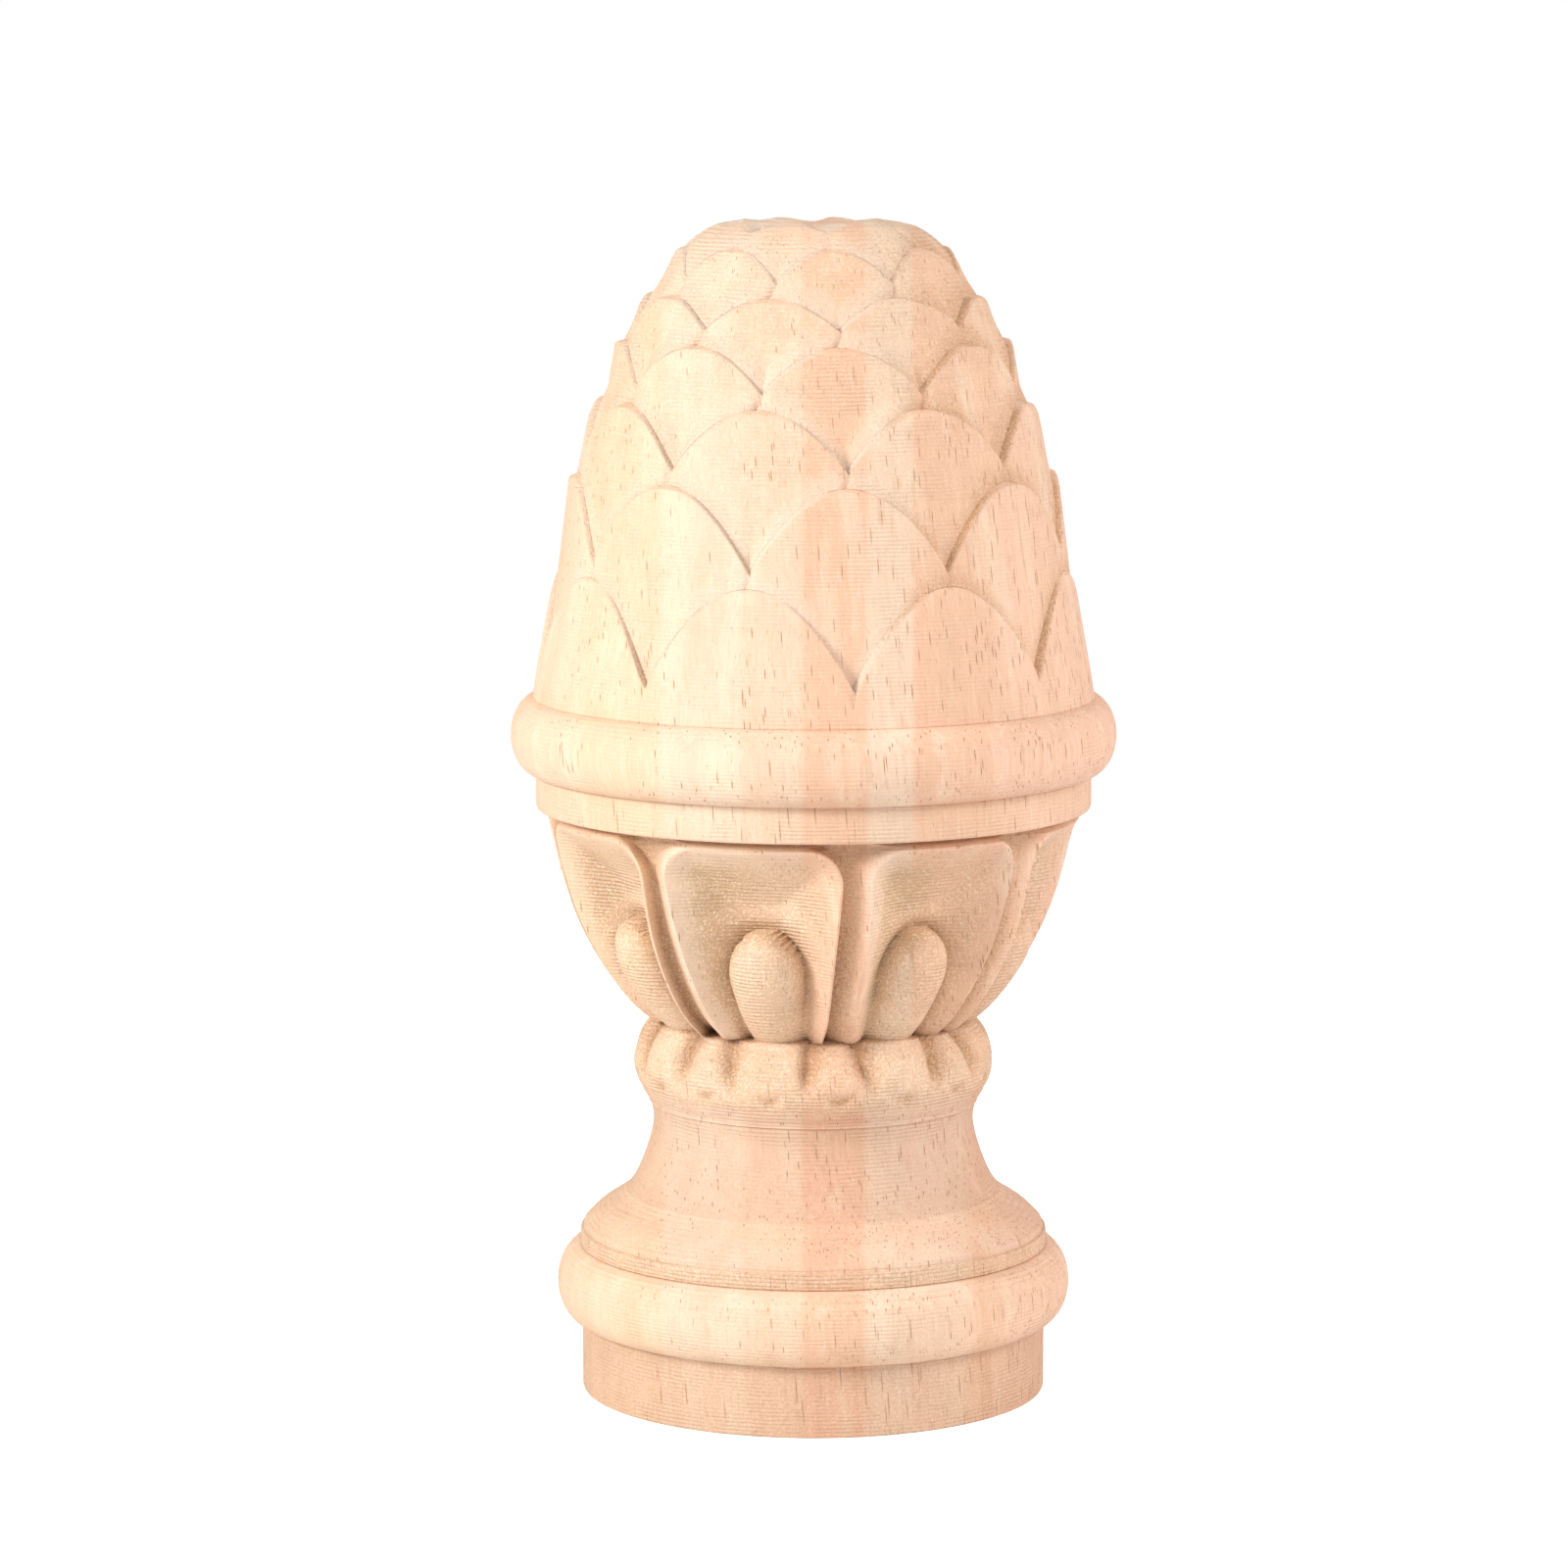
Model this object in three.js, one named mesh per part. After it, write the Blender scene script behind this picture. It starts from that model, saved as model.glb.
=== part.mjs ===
import * as THREE from "three";

// Sizes are in millimetres and angles in degrees. The finial stands on its flat underside, +Z is up,
// and the middle of one carved leaf faces -Y.
const HEIGHT = 150;

// Turned foot
const FOOT_RADIUS = 29.8;
const FOOT_TOP = 9.2;
const FOOT_EDGE = 0.4;
const FOOT_BEAD_RADIUS = 33;
const FOOT_BEAD_TOP = 18.8;
const STEP_RADIUS = 30;
const STEP_TOP = 20.9;
const STEP_EDGE_IN = 0.5;
const STEP_EDGE_UP = 0.8;
const STEP_LIP_IN = 2.2;
const STEP_LIP_UP = 2.4;

// Neck between the foot and the collar, with a turned line at its top
const NECK_RADIUS = 20.55;
const NECK_HEIGHT = 34.9;
const NECK_LINE_RADIUS = 21.1;
const NECK_LINE_HEIGHT = 37.4;
const NECK_LINE_DEPTH = 0.35;
const NECK_LINE_WIDTH = 0.4;

// Lobed collar
const COLLAR_RADIUS = 23.1;
const COLLAR_MIDDLE = 42.4;
const COLLAR_NOTCH_DEPTH = 1.5;
const COLLAR_NOTCH_HALF_TOP = 1.7;
const COLLAR_NOTCH_HALF_FOOT = 0.9;
const COLLAR_NOTCH_FOOT = 40.6;
const COLLAR_NOTCH_FULL = 45.5;
const COLLAR_NOTCH_OFFSET_TOP = 14.6;
const COLLAR_NOTCH_OFFSET_FOOT = 11;
const WAIST_RADIUS = 21;
const WAIST_HEIGHT = 48.1;

// Bowl of leaves, each a rim round a spoon-shaped hollow with a bulb at its foot
const SECTORS = 8;
const BOWL_TOP = 75.5;
const BOWL_TOP_RADIUS = 34.2;
const LEAF_TOP = 74.6;
const LEAF_HALF_ANGLE_TOP = 20.2;
const LEAF_HALF_ANGLE_FOOT = 17.8;
const LEAF_CORNER = 5;
const LEAF_GAP_DEPTH = 2.4;
const LEAF_WALL = 1.2;
const RIM_WIDTH_TOP = 0.5;
const RIM_WIDTH_FOOT = 0.2;
const HOLLOW_DEPTH_TOP = 5.6;
const HOLLOW_DEPTH_FOOT = 2.5;
const HOLLOW_REACH_TOP = 10.5;
const HOLLOW_REACH_FOOT = 3;
const HOLLOW_CURVE = 1.8;
const HOLLOW_FULL_LIFT = 0.45;
const BULB_TOP = 63.2;
const BULB_WIDEST = 56;
const BULB_HALF_ANGLE = 11.4;
const BULB_CREST_DEPTH = 0.4;
const BULB_EDGE_DEPTH = 5.4;

// Fillet and half-round ring under the cone
const FILLET_RADIUS = 35.45;
const FILLET_TOP = 80.1;
const FILLET_EDGE = 0.5;
const RING_RADIUS = 38.6;
const RING_TOP = 89.7;

// Cone of overlapping scales
const CONE_FOOT_RADIUS = 35.8;
const FIRST_VALLEY = 94.3;
const VALLEY_RISE = 2.1;
const SEAM_DEPTH = 0.35;
const SEAM_HALF = 0.6;
const SCALE_FLATTEN = 0.15;
const SWELL_HEIGHT = 1.8;
const SCALE_WALL = 0.45;
const SCALE_WALL_MOST_SHARE = 0.5;
const CROWN_DIP = 0.3;
const ARCH_POWER = 2.1;

// The cutter leaned to one side: walls that face one way slope and those that face the other stand steep
const LEAF_LEAN = 34;
const SCALE_LEAN = 22;
const COLLAR_LEAN = 20;

// Rows of scales, lowest first. The tip's height is a share of the cone's height, the radii at the tip
// and at the hidden root are shares of the cone's foot, and fullness bends the upright curve outwards.
// The swell, in millimetres, brings the face out over the valley between the scales below.
const SCALE_ROWS = [
  { tip: 0.275, tipRadius: 0.916, rootRadius: 1, fullness: 1, swell: 0 },
  { tip: 0.476, tipRadius: 0.863, rootRadius: 0.947, fullness: 1, swell: 0 },
  { tip: 0.63, tipRadius: 0.777, rootRadius: 0.875, fullness: 1.2, swell: 0.3 },
  { tip: 0.755, tipRadius: 0.698, rootRadius: 0.776, fullness: 1, swell: 1.1 },
  { tip: 0.851, tipRadius: 0.592, rootRadius: 0.684, fullness: 1.3, swell: 1.1 },
  { tip: 0.949, tipRadius: 0.469, rootRadius: 0.6, fullness: 1.2, swell: 0.9 },
  { tip: 1, tipRadius: 0.268, rootRadius: 0.517, fullness: 1.8, swell: 0.3 },
].map((row) => ({
  tip: RING_TOP + row.tip * (HEIGHT - RING_TOP),
  tipRadius: row.tipRadius * CONE_FOOT_RADIUS,
  rootRadius: row.rootRadius * CONE_FOOT_RADIUS,
  fullness: row.fullness,
  swell: row.swell,
}));

// Where the rings of points lie, as shares of the stretch they cover
const COLLAR_RINGS = [0, 0.24, 0.5, 0.72, 1];
const BOWL_RINGS = [0.04, 0.16, 0.3, 0.42, 0.51, 0.57, 0.69, 0.82, 0.9, 0.96];
const FACE_RINGS = [[0.45], [0.4], [0.4], [0.4], [0.4], [0.35], [0.2, 0.55]];
const WALL_ROUND = { up: 0.3, back: 0.12 };
const FOOT_BEAD_STEPS = 6;
const FLARE_STEPS = 7;
const RING_STEPS = 8;
const PLAIN_COLUMNS = 40;
const BULB_COLUMN_SHARE = 0.6;
const LEAST_SLOPE_ANGLE = 3;
const LEAST_GAP_ANGLE = 0.5;
const COLLAR_COLUMN_OFFSETS = [0, 5, 9, 12.3, 15.6, 19, 22.5];
const SCALE_COLUMN_OFFSETS = [0, 1.6, 7.5, 15, 20.9, 22.5];

const SECTOR = 360 / SECTORS;
const HALF_SECTOR = SECTOR / 2;

const radians = THREE.MathUtils.degToRad;
const mix = THREE.MathUtils.lerp;
const blend = THREE.MathUtils.smoothstep;

// Angle from the nearest leaf middle, 0 to half a sector
function offsetFrom(angle, middle) {
  const turned = THREE.MathUtils.euclideanModulo(angle - middle + HALF_SECTOR, SECTOR);
  return Math.abs(turned - HALF_SECTOR);
}

// A closed ring of points round the axis, one for each angle. A point cut in by some depth moves
// sideways with the cutter's lean.
function ringOf(angles, pointAt, lean = 0) {
  return angles.map((angle) => {
    const { radius, height, depth = 0 } = pointAt(angle);
    const turn = radians(angle) - (depth * Math.tan(radians(lean))) / radius;
    return new THREE.Vector3(radius * Math.sin(turn), -radius * Math.cos(turn), height);
  });
}

function evenAngles(count) {
  return Array.from({ length: count }, (_, i) => (360 * i) / count);
}

// Angles all round from the offsets of half a sector, mirrored into the other half
function sectorAngles(offsets) {
  const mirrored = offsets.slice(1, -1).reverse().map((offset) => SECTOR - offset);
  const whole = [...offsets, ...mirrored];
  return Array.from({ length: SECTORS }, (_, s) => whole.map((offset) => s * SECTOR + offset)).flat();
}

// A smooth upright curve through points given as radius and height
function uprightCurve(points) {
  return new THREE.CatmullRomCurve3(points.map(([radius, height]) => new THREE.Vector3(radius, height, 0)));
}

// A point between two others by its shares of the way across and up
function between([radiusA, heightA], [radiusB, heightB], across, up) {
  return [mix(radiusA, radiusB, across), mix(heightA, heightB, up)];
}

// Half-round bead between two heights, standing out from one radius to another
function beadRows(innerRadius, outerRadius, bottom, top, divisions) {
  const middle = (bottom + top) / 2;
  const half = (top - bottom) / 2;
  return Array.from({ length: divisions + 1 }, (_, i) => {
    const turn = radians(mix(-90, 90, i / divisions));
    return {
      radius: innerRadius + (outerRadius - innerRadius) * Math.cos(turn),
      height: middle + half * Math.sin(turn),
    };
  });
}

// Outlines of the flare, the collar and the bowl
const lip = [STEP_RADIUS - STEP_LIP_IN, STEP_TOP + STEP_LIP_UP];
const neck = [NECK_RADIUS, NECK_HEIGHT];
const collarFoot = [NECK_LINE_RADIUS, NECK_LINE_HEIGHT + NECK_LINE_WIDTH];
const collarCrest = [COLLAR_RADIUS, COLLAR_MIDDLE];
const waist = [WAIST_RADIUS, WAIST_HEIGHT];
const bowlEdge = [BOWL_TOP_RADIUS, BOWL_TOP];
const flareOutline = uprightCurve([
  [STEP_RADIUS - STEP_EDGE_IN, STEP_TOP + STEP_EDGE_UP],
  lip,
  between(lip, neck, 0.54, 0.24),
  between(lip, neck, 0.81, 0.56),
  neck,
  [NECK_LINE_RADIUS - NECK_LINE_DEPTH, NECK_LINE_HEIGHT],
]);
const collarOutline = uprightCurve([
  collarFoot,
  between(collarFoot, collarCrest, 0.6, 0.43),
  collarCrest,
  between(collarCrest, waist, 0.24, 0.56),
  waist,
]);
const bowlOutline = uprightCurve([
  waist,
  between(waist, bowlEdge, 0.23, 0.1),
  between(waist, bowlEdge, 0.485, 0.27),
  between(waist, bowlEdge, 0.712, 0.489),
  between(waist, bowlEdge, 0.856, 0.712),
  bowlEdge,
]);

// Radius of an outline at a height, by halving the interval of the curve's parameter
const HALVINGS = 30;

function radiusAt(outline, height) {
  let low = 0;
  let high = 1;
  for (let i = 0; i < HALVINGS; i++) {
    const middle = (low + high) / 2;
    if (outline.getPoint(middle).y < height) low = middle;
    else high = middle;
  }
  return outline.getPoint((low + high) / 2).x;
}

function collarPoint(angle, height) {
  const envelope = radiusAt(collarOutline, height);
  const rise = THREE.MathUtils.clamp((height - COLLAR_NOTCH_FOOT) / (WAIST_HEIGHT - COLLAR_NOTCH_FOOT), 0, 1);
  const notchOffset = mix(COLLAR_NOTCH_OFFSET_FOOT, COLLAR_NOTCH_OFFSET_TOP, rise);
  const reach = mix(COLLAR_NOTCH_HALF_FOOT, COLLAR_NOTCH_HALF_TOP, rise);
  const across = (radians(offsetFrom(angle, 0) - notchOffset) * envelope) / reach;
  const full = COLLAR_NOTCH_DEPTH * blend(height, COLLAR_NOTCH_FOOT, COLLAR_NOTCH_FULL);
  const depth = full * Math.exp(-across * across);
  return { radius: envelope - depth, height, depth };
}

// Share of the way up a leaf
function liftOf(height) {
  return THREE.MathUtils.clamp((height - WAIST_HEIGHT) / (LEAF_TOP - WAIST_HEIGHT), 0, 1);
}

function leafHalfAngle(height) {
  return mix(LEAF_HALF_ANGLE_FOOT, LEAF_HALF_ANGLE_TOP, liftOf(height));
}

// Half the leaf's width where its round upper corner starts to close
function cornerHalfAngle(height, envelope) {
  const rise = THREE.MathUtils.clamp(height - (LEAF_TOP - LEAF_CORNER), 0, LEAF_CORNER);
  const inset = LEAF_CORNER - Math.sqrt(LEAF_CORNER ** 2 - rise ** 2);
  return leafHalfAngle(height) - THREE.MathUtils.radToDeg(inset / envelope);
}

// Distance inside the leaf's outline, which is a box with round upper corners
function insideLeaf(offset, height, envelope) {
  const side = LEAF_CORNER - radians(leafHalfAngle(height) - offset) * envelope;
  const top = LEAF_CORNER - (LEAF_TOP - height);
  const outside = Math.hypot(Math.max(side, 0), Math.max(top, 0)) + Math.min(Math.max(side, top), 0);
  return LEAF_CORNER - outside;
}

function hollowDepth(inside, height) {
  const lift = liftOf(height);
  const rim = mix(RIM_WIDTH_FOOT, RIM_WIDTH_TOP, lift);
  const reach = mix(HOLLOW_REACH_FOOT, HOLLOW_REACH_TOP, lift);
  const share = THREE.MathUtils.clamp((inside - rim) / reach, 0, 1);
  const depth = mix(HOLLOW_DEPTH_FOOT, HOLLOW_DEPTH_TOP, blend(lift, 0, HOLLOW_FULL_LIFT));
  return depth * (1 - (1 - share) ** HOLLOW_CURVE);
}

function bulbDepth(offset, height) {
  const rise = Math.max(height - BULB_WIDEST, 0) / (BULB_TOP - BULB_WIDEST);
  const reach = Math.hypot(offset / BULB_HALF_ANGLE, rise);
  if (reach >= 1) return Infinity;
  return mix(BULB_CREST_DEPTH, BULB_EDGE_DEPTH, 1 - Math.sqrt(1 - reach * reach));
}

function bowlPoint(angle, height) {
  const envelope = radiusAt(bowlOutline, height);
  const offset = offsetFrom(angle, 0);
  const inside = insideLeaf(offset, height, envelope);
  const gap = LEAF_GAP_DEPTH * (1 - blend(inside, -LEAF_WALL, 0));
  const hollow = hollowDepth(inside, height);
  const carved = Math.min(Math.max(gap, hollow), bulbDepth(offset, height));
  return { radius: envelope - carved, height, depth: gap > hollow ? gap : 0 };
}

// Angles that follow the bulb, the rim and the gap between leaves at one height
function bowlAngles(height) {
  const envelope = radiusAt(bowlOutline, height);
  const degreesPerMm = THREE.MathUtils.radToDeg(1 / envelope);
  const wall = LEAF_WALL * degreesPerMm;
  const wallFoot = Math.min(cornerHalfAngle(height, envelope) + wall, HALF_SECTOR - LEAST_GAP_ANGLE);
  const outer = wallFoot - wall;
  const bulbEdge = Math.min(BULB_HALF_ANGLE, outer - LEAST_SLOPE_ANGLE);
  const slope = (bulbEdge + outer) / 2;
  return sectorAngles([0, bulbEdge * BULB_COLUMN_SHARE, bulbEdge, slope, outer, wallFoot, HALF_SECTOR]);
}

// Even rows of scales stand over the leaves and odd rows between them
function rowMiddle(row) {
  return row % 2 === 0 ? 0 : HALF_SECTOR;
}

function valleyOf(row) {
  return row === 0 ? FIRST_VALLEY : SCALE_ROWS[row - 1].tip + VALLEY_RISE;
}

// Upper edge of a row of scales: arches that meet in valleys
function archAt(row, angle) {
  const share = offsetFrom(angle, rowMiddle(row)) / HALF_SECTOR;
  return SCALE_ROWS[row].tip - (SCALE_ROWS[row].tip - valleyOf(row)) * share ** ARCH_POWER;
}

function rootHeight(row) {
  if (row === 0) return RING_TOP;
  return row === 1 ? FIRST_VALLEY : SCALE_ROWS[row - 2].tip;
}

function scaleRadius(row, angle, height) {
  const { tip, tipRadius, rootRadius, fullness, swell } = SCALE_ROWS[row];
  const rise = THREE.MathUtils.clamp((height - rootHeight(row)) / (tip - rootHeight(row)), 0, 1);
  const upright = tipRadius + (rootRadius - tipRadius) * (1 - rise ** fullness) ** (1 / fullness);
  const offset = offsetFrom(angle, rowMiddle(row));
  const share = offset / HALF_SECTOR;
  const fromSeam = (radians(HALF_SECTOR - offset) * upright) / SEAM_HALF;
  const edge = SCALE_FLATTEN * share * share - SEAM_DEPTH * Math.exp(-fromSeam * fromSeam);
  if (row === 0) return upright + edge * blend(height, RING_TOP, FIRST_VALLEY);
  const above = (height - archAt(row - 1, angle)) / SWELL_HEIGHT;
  return upright + edge + swell * (1 - share * share) * Math.exp(-above * above);
}

// Slope of a row's upper edge, in millimetres for each radian round the axis
const SLOPE_SPAN = 0.2;

function archSlope(row, angle) {
  const before = archAt(row, angle - SLOPE_SPAN / 2);
  const after = archAt(row, angle + SLOPE_SPAN / 2);
  return (before - after) / radians(SLOPE_SPAN);
}

// Rings of one row of scales: its face, the edge, and the wall down to the scale behind
function scaleRings(row, angles) {
  const last = row === SCALE_ROWS.length - 1;
  const bottomAt = (angle) => (row === 0 ? RING_TOP : archAt(row - 1, angle));
  const edgeAt = (angle) => {
    const room = archAt(row, angle) - bottomAt(angle);
    const wall = SCALE_WALL * Math.hypot(1, archSlope(row, angle) / SCALE_ROWS[row].tipRadius);
    return archAt(row, angle) - Math.min(wall, room * SCALE_WALL_MOST_SHARE);
  };
  const behindAt = (angle) => {
    if (last) return SCALE_ROWS[row].tipRadius - SCALE_WALL;
    return scaleRadius(row + 1, angle, archAt(row, angle));
  };
  const face = [...FACE_RINGS[row], 1].map((share) =>
    ringOf(angles, (angle) => {
      const height = mix(bottomAt(angle), edgeAt(angle), share);
      return { radius: scaleRadius(row, angle, height), height };
    }),
  );
  const wall = [WALL_ROUND, { up: 1, back: 1 }].map(({ up, back }) =>
    ringOf(
      angles,
      (angle) => {
        const height = mix(edgeAt(angle), archAt(row, angle), up);
        const outer = scaleRadius(row, angle, height);
        const depth = (outer - behindAt(angle)) * back;
        return { radius: outer - depth, height, depth };
      },
      SCALE_LEAN,
    ),
  );
  return [...face, ...wall];
}

// Corners of the surface's triangles, three by three
const corners = [];

function addTriangle(a, b, c) {
  corners.push(a, b, c);
}

// Joins two rings that turn the same way, whatever their counts
function stitch(lower, upper, lowerAngles, upperAngles) {
  let i = 0;
  let j = 0;
  while (i < lower.length || j < upper.length) {
    const a = lower[i % lower.length];
    const b = upper[j % upper.length];
    const nextA = lower[(i + 1) % lower.length];
    const nextB = upper[(j + 1) % upper.length];
    let stepLower = j >= upper.length;
    if (i < lower.length && j < upper.length) {
      const matched = lower.length === upper.length;
      const shorter = nextA.distanceTo(b) < nextB.distanceTo(a);
      if (matched) stepLower = i === j ? shorter : i < j;
      else stepLower = angleAfter(lowerAngles, i) <= angleAfter(upperAngles, j);
    }
    if (stepLower) {
      addTriangle(a, nextA, b);
      i++;
    } else {
      addTriangle(a, nextB, b);
      j++;
    }
  }
}

function angleAfter(angles, index) {
  return index + 1 < angles.length ? angles[index + 1] : 360;
}

// Rings from the underside to the crown
const plainAngles = evenAngles(PLAIN_COLUMNS);
const scaleAngles = sectorAngles(SCALE_COLUMN_OFFSETS);
const layers = [];

function addPlain(rows) {
  for (const row of rows) layers.push({ angles: plainAngles, ring: ringOf(plainAngles, () => row) });
}

addPlain([
  { radius: FOOT_RADIUS - FOOT_EDGE, height: 0 },
  { radius: FOOT_RADIUS, height: FOOT_EDGE },
]);
addPlain(beadRows(FOOT_RADIUS, FOOT_BEAD_RADIUS, FOOT_TOP, FOOT_BEAD_TOP, FOOT_BEAD_STEPS));
addPlain([{ radius: STEP_RADIUS, height: STEP_TOP }]);
addPlain(flareOutline.getPoints(FLARE_STEPS).map((p) => ({ radius: p.x, height: p.y })));

for (const share of COLLAR_RINGS) {
  const angles = sectorAngles(COLLAR_COLUMN_OFFSETS);
  const height = mix(NECK_LINE_HEIGHT + NECK_LINE_WIDTH, WAIST_HEIGHT, share);
  layers.push({ angles, ring: ringOf(angles, (angle) => collarPoint(angle, height), COLLAR_LEAN) });
}
for (const share of BOWL_RINGS) {
  const height = mix(WAIST_HEIGHT, BOWL_TOP, share);
  const angles = bowlAngles(height);
  layers.push({ angles, ring: ringOf(angles, (angle) => bowlPoint(angle, height), LEAF_LEAN) });
}

addPlain([
  { radius: BOWL_TOP_RADIUS - LEAF_GAP_DEPTH, height: BOWL_TOP },
  { radius: FILLET_RADIUS - FILLET_EDGE, height: BOWL_TOP },
  { radius: FILLET_RADIUS, height: BOWL_TOP + FILLET_EDGE },
]);
addPlain(beadRows(FILLET_RADIUS, RING_RADIUS, FILLET_TOP, RING_TOP, RING_STEPS));

for (const row of SCALE_ROWS.keys()) {
  for (const ring of scaleRings(row, scaleAngles)) layers.push({ angles: scaleAngles, ring });
}

const underside = new THREE.Vector3(0, 0, 0);
const crown = new THREE.Vector3(0, 0, HEIGHT - CROWN_DIP);
layers.slice(1).forEach((layer, i) => stitch(layers[i].ring, layer.ring, layers[i].angles, layer.angles));
const lowest = layers[0].ring;
lowest.forEach((point, i) => addTriangle(underside, lowest[(i + 1) % lowest.length], point));
const highest = layers.at(-1).ring;
highest.forEach((point, i) => addTriangle(crown, point, highest[(i + 1) % highest.length]));

const geometry = new THREE.BufferGeometry().setFromPoints(corners);
geometry.computeVertexNormals();
const wood = new THREE.MeshStandardMaterial({ color: 0xe9c7a0, roughness: 0.75, metalness: 0 });
const finial = new THREE.Mesh(geometry, wood);
finial.name = "finial";

const group = new THREE.Group();
group.name = "stair_finial";
group.add(finial);

export default group;
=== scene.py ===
import math

import bpy
import numpy as np
from mathutils import Matrix, Vector


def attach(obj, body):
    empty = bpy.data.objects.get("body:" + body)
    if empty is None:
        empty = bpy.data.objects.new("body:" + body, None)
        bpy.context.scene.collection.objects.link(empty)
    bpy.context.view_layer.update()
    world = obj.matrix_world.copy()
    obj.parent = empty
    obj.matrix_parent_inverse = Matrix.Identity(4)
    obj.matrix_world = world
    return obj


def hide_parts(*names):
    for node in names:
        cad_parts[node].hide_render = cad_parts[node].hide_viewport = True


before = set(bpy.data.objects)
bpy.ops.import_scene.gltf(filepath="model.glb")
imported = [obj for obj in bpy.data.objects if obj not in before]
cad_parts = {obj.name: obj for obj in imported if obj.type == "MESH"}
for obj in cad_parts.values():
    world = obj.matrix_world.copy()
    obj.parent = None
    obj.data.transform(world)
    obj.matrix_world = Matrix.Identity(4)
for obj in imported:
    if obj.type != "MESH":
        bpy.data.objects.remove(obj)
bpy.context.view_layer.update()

MM_PER_METRE = 1000

# Sizes in millimetres and angles in degrees, as in the solid
HEIGHT = 150.0
FOOT_RADIUS, FOOT_TOP, FOOT_EDGE = 29.8, 9.2, 0.4
FOOT_BEAD_RADIUS, FOOT_BEAD_TOP = 33.0, 18.8
STEP_RADIUS, STEP_TOP, STEP_LIP = 30.0, 20.9, 2.2
TURNED_PITCH, TURNED_DEPTH = 0.6, 0.08
NECK_RADIUS, NECK_HEIGHT = 20.55, 34.9
NECK_LINE_RADIUS, NECK_LINE_HEIGHT, NECK_LINE_DEPTH = 21.1, 37.4, 0.25
COLLAR_RADIUS, COLLAR_MIDDLE = 23.1, 42.4
COLLAR_LINE_HEIGHT, COLLAR_LINE_DEPTH, COLLAR_LINE_HALF = 39.5, 0.125, 0.3
COLLAR_NOTCH_DEPTH, COLLAR_NOTCH_POWER = 1.8, 1.6
COLLAR_NOTCH_HALF_TOP, COLLAR_NOTCH_HALF_FOOT = 1.7, 0.8
COLLAR_NOTCH_FOOT, COLLAR_NOTCH_FULL = 40.6, 45.5
COLLAR_NOTCH_OFFSET_TOP, COLLAR_NOTCH_OFFSET_FOOT = 14.6, 11.0
LOBE_DIMPLE_HEIGHT, LOBE_DIMPLE_DEPTH = 41.0, 0.6
LOBE_DIMPLE_HALF_WIDTH, LOBE_DIMPLE_HALF_HEIGHT, LOBE_DIMPLE_CURVE = 1.5, 0.65, 0.3
WAIST_RADIUS, WAIST_HEIGHT = 21.0, 48.1
SECTORS = 8
BOWL_TOP, BOWL_TOP_RADIUS = 75.5, 34.2
LEAF_TOP, LEAF_HALF_ANGLE_TOP, LEAF_HALF_ANGLE_FOOT = 74.6, 20.2, 17.8
LEAF_CORNER = 5.0
LEAF_GAP_DEPTH, LEAF_WALL, LEAF_EDGE = 2.4, 1.2, 0.25
GAP_HOLE_DEPTH, GAP_HOLE_HEIGHT, GAP_HOLE_WIDTH = 1.4, 1.6, 1.2
RIM_WIDTH_FOOT, RIM_WIDTH_TOP = 0.2, 0.5
HOLLOW_REACH_FOOT, HOLLOW_REACH_TOP, HOLLOW_CURVE = 3.0, 10.5, 1.8
# The hollow is at its full depth from this share of the leaf's height up
HOLLOW_DEPTH_FOOT, HOLLOW_DEPTH_TOP, HOLLOW_FULL_LIFT = 2.5, 5.6, 0.45
BULB_GROOVE, BULB_GROOVE_SPREAD = 0.8, 0.16
BULB_TOP, BULB_WIDEST, BULB_HALF_ANGLE = 63.2, 56.0, 11.4
BULB_CREST_DEPTH, BULB_EDGE_DEPTH = 0.4, 5.4
# Walls that face left lean back and those that face right stand steep, by these angles
LEAF_LEAN, SCALE_LEAN, COLLAR_LEAN = 34.0, 22.0, 20.0
# How far each leaf's middle and each gap stands from its even place, in degrees, from the -Y leaf round
WANDER = [0, 1.0, 0, -1.6, 0, 0.6, 0.4, -0.8, 0, 0.7, -0.3, -0.9, 0, 1.0, 0, -0.9]
# One leaf's side that reaches further over the foot of its gap: its angle, its spread and the shift
NARROW_GAP = (27.2, 6.0, -2.2)
NARROW_GAP_TOP, NARROW_GAP_FULL = 68, 50
# The leaves leave their even places over this height above the waist, and are back there at the top
WANDER_RISE = 4
WANDER_END, WANDER_BACK = 0.5, -1.5
FILLET_RADIUS, FILLET_TOP, FILLET_EDGE = 35.45, 80.1, 0.5
RING_RADIUS, RING_TOP = 38.6, 89.7
CONE_FOOT_RADIUS = 35.8
FIRST_VALLEY = 94.3
# Rows of scales from the ring up: each tip's height and radius, the radius at the root, the fullness of the
# face between them, and how far the face swells out over the valley between the scales below
SCALE_ROWS = [
    dict(tip=106.3, tip_radius=32.8, root_radius=CONE_FOOT_RADIUS, fullness=1.0, swell=0),
    dict(tip=118.4, tip_radius=30.9, root_radius=33.9, fullness=1.0, swell=0),
    dict(tip=127.7, tip_radius=27.8, root_radius=31.3, fullness=1.2, swell=0.3),
    dict(tip=135.2, tip_radius=25.0, root_radius=27.8, fullness=1.0, swell=1.1),
    dict(tip=141.0, tip_radius=21.2, root_radius=24.5, fullness=1.3, swell=1.1),
    dict(tip=146.9, tip_radius=16.8, root_radius=21.5, fullness=1.2, swell=0.9),
    dict(tip=HEIGHT, tip_radius=9.6, root_radius=18.5, fullness=1.8, swell=0.3),
]
SEAM_HEIGHT, SEAM_DEPTH, SEAM_HALF = 2.1, 0.35, 0.6
ARCH_POWER = 2.1
SCALE_FLATTEN = 0.15
SWELL_HEIGHT = 1.8
RIM_TIP, RIM_FLANK = 0.45, 0.3
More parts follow.
